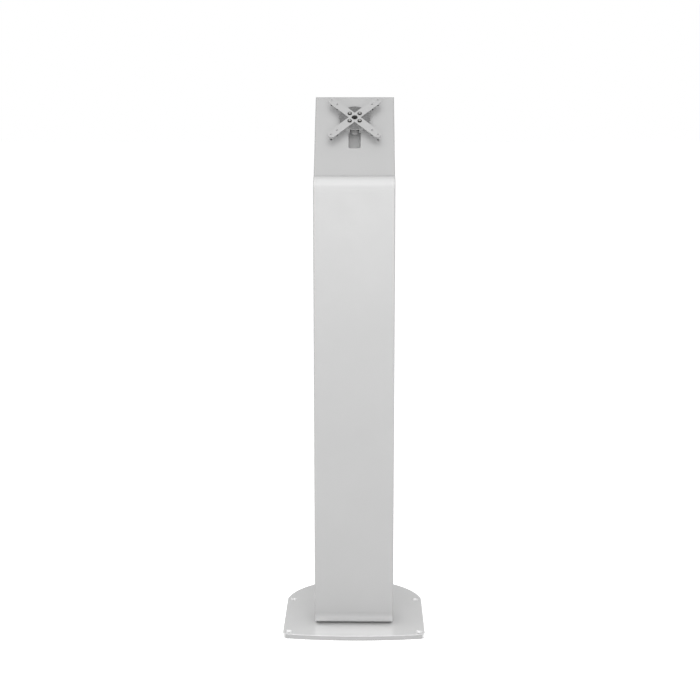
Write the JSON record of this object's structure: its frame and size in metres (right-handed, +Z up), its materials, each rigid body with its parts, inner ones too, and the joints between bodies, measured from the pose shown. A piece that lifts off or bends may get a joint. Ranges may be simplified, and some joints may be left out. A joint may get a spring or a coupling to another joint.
{
  "type": "floor-standing display post",
  "caption": "Slim floor-standing sheet-steel post on a D-shaped base, with a tilted head that carries a turning cross bracket for a screen or terminal.",
  "frame": {"origin": "on the floor, at the middle of the base's outline", "axes": "+Z up, +X to the right seen from the front, -Y towards the user, who faces the front cover"},
  "size_m": [0.306, 0.3612, 1.146],
  "materials": {
    "paint": "satin powder coat, light silver grey",
    "base_paint": "semi-gloss powder coat, light silver grey",
    "bracket_paint": "satin powder coat, light silver grey",
    "zinc": "bright zinc plate",
    "black_steel": "black oxide",
    "black_plastic": "fine grained black plastic",
    "acetal": "natural acetal",
    "rubber": "black rubber",
    "brass": "plain brass"
  },
  "bodies": {
    "post": {"base_plate": "base_paint", "base_pads": "rubber", "foot_plate": "paint", "foot_bolts": "zinc", "foot_washers": "zinc", "floor_grommet": "rubber", "earth_stud": "brass", "earth_nuts": "brass", "column_shell": "paint", "head_cheeks": "paint", "front_cover": "paint", "cover_hooks": "zinc", "cover_screws": "zinc", "cover_nuts": "zinc", "exit_grommet": "rubber", "cable_saddles": "acetal", "head_plate": "paint", "head_brackets": "paint", "head_bracket_screws": "zinc", "head_rear_cover": "paint", "rear_cover_screws": "zinc", "rear_cover_nuts": "zinc", "pivot_drum": "bracket_paint", "drum_screws": "zinc", "friction_ring": "acetal", "disc_springs": "zinc", "pivot_bolt": "black_steel", "pivot_washer": "zinc", "pivot_nut": "zinc", "stop_pin": "zinc"},
    "display_mount": {"x_bracket": "bracket_paint", "hub_pad": "black_plastic", "hub_plate": "bracket_paint", "hub_nuts": "zinc", "pivot_bush": "acetal", "hub_washers": "black_plastic", "hub_screws": "zinc"}
  },
  "joints": [
    {"name": "display_turn", "type": "hinge", "parent": "post", "child": "display_mount", "pos_m": [0, 0.0235, 1.0929], "axis": [0, -0.7193, 0.6947], "range_deg": [-90, 90]}
  ]
}
